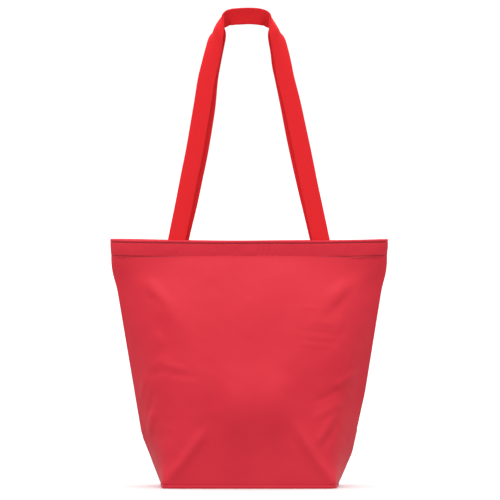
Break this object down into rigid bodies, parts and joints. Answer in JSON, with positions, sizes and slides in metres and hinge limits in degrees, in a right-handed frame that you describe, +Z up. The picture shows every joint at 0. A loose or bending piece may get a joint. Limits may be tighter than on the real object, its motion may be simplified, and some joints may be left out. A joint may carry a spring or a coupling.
{
  "type": "insulated cooler bag",
  "caption": "Tall soft tote cooler with a boxed bottom that flares to a wide zipped mouth, foam and foil lined walls, a sewn hem and a pair of long webbing loop handles.",
  "frame": {"origin": "centre of the base on the floor", "axes": "X along the mouth, Y from front to back, Z up to the top of the handles"},
  "size_m": [0.4, 0.15, 0.6881],
  "materials": {
    "coated_fabric": "soft-sheen coated polyester, red",
    "webbing": "woven polypropylene webbing, bright red",
    "foam": "closed-cell foam sheet, white, matte",
    "foil_lining": "metallised plastic film, silver, crinkled",
    "binding_tape": "grey woven binding tape",
    "zip_tape": "fine woven tape, red",
    "zip_coil": "moulded nylon coil, red",
    "metal": "nickel-plated zinc, satin"
  },
  "bodies": {
    "bag": {"base_panel": "coated_fabric", "base_foam": "foam", "base_lining": "foil_lining", "base_binding": "binding_tape", "left_side_panel": "coated_fabric", "left_side_foam": "foam", "left_side_lining": "foil_lining", "left_side_binding": "binding_tape", "left_hem_band": "coated_fabric", "left_hem_facing": "coated_fabric", "left_zip_end": "zip_tape", "left_zip_stop": "metal", "right_side_panel": "coated_fabric", "right_side_foam": "foam", "right_side_lining": "foil_lining", "right_side_binding": "binding_tape", "right_hem_band": "coated_fabric", "right_hem_facing": "coated_fabric", "right_zip_end": "zip_tape", "right_zip_stop": "metal"},
    "front_wall": {"front_panel": "coated_fabric", "front_foam": "foam", "front_lining": "foil_lining", "front_hem_band": "coated_fabric", "front_hem_facing": "coated_fabric", "front_zip_tape": "zip_tape", "front_zip_coil": "zip_coil", "front_handle_tails": "webbing"},
    "back_wall": {"back_panel": "coated_fabric", "back_foam": "foam", "back_lining": "foil_lining", "back_hem_band": "coated_fabric", "back_hem_facing": "coated_fabric", "back_zip_tape": "zip_tape", "back_zip_coil": "zip_coil", "back_handle_tails": "webbing"},
    "slider": {"zip_slider": "metal"},
    "puller": {"zip_puller": "metal"},
    "front_loop": {"front_handle": "webbing"},
    "back_loop": {"back_handle": "webbing"}
  },
  "joints": [
    {"name": "front_wall_open", "type": "hinge", "parent": "bag", "child": "front_wall", "pos_m": [0, -0.075, 0.0009], "axis": [1, 0, 0], "range_deg": [0, 6]},
    {"name": "back_wall_open", "type": "hinge", "parent": "bag", "child": "back_wall", "pos_m": [0, 0.075, 0.0009], "axis": [-1, 0, 0], "range_deg": [0, 6]},
    {"name": "zip_slide", "type": "slide", "parent": "bag", "child": "slider", "axis": [1, 0, 0], "range_m": [-0.33, 0]},
    {"name": "puller_swing", "type": "hinge", "parent": "slider", "child": "puller", "pos_m": [0.169, 0, 0.3517], "axis": [0, 1, 0], "range_deg": [0, 150]},
    {"name": "front_handle_swing", "type": "hinge", "parent": "front_wall", "child": "front_loop", "pos_m": [0, -0.0142, 0.3569], "axis": [1, 0, 0], "range_deg": [0, 160]},
    {"name": "back_handle_swing", "type": "hinge", "parent": "back_wall", "child": "back_loop", "pos_m": [0, 0.0142, 0.3569], "axis": [-1, 0, 0], "range_deg": [0, 160]}
  ]
}
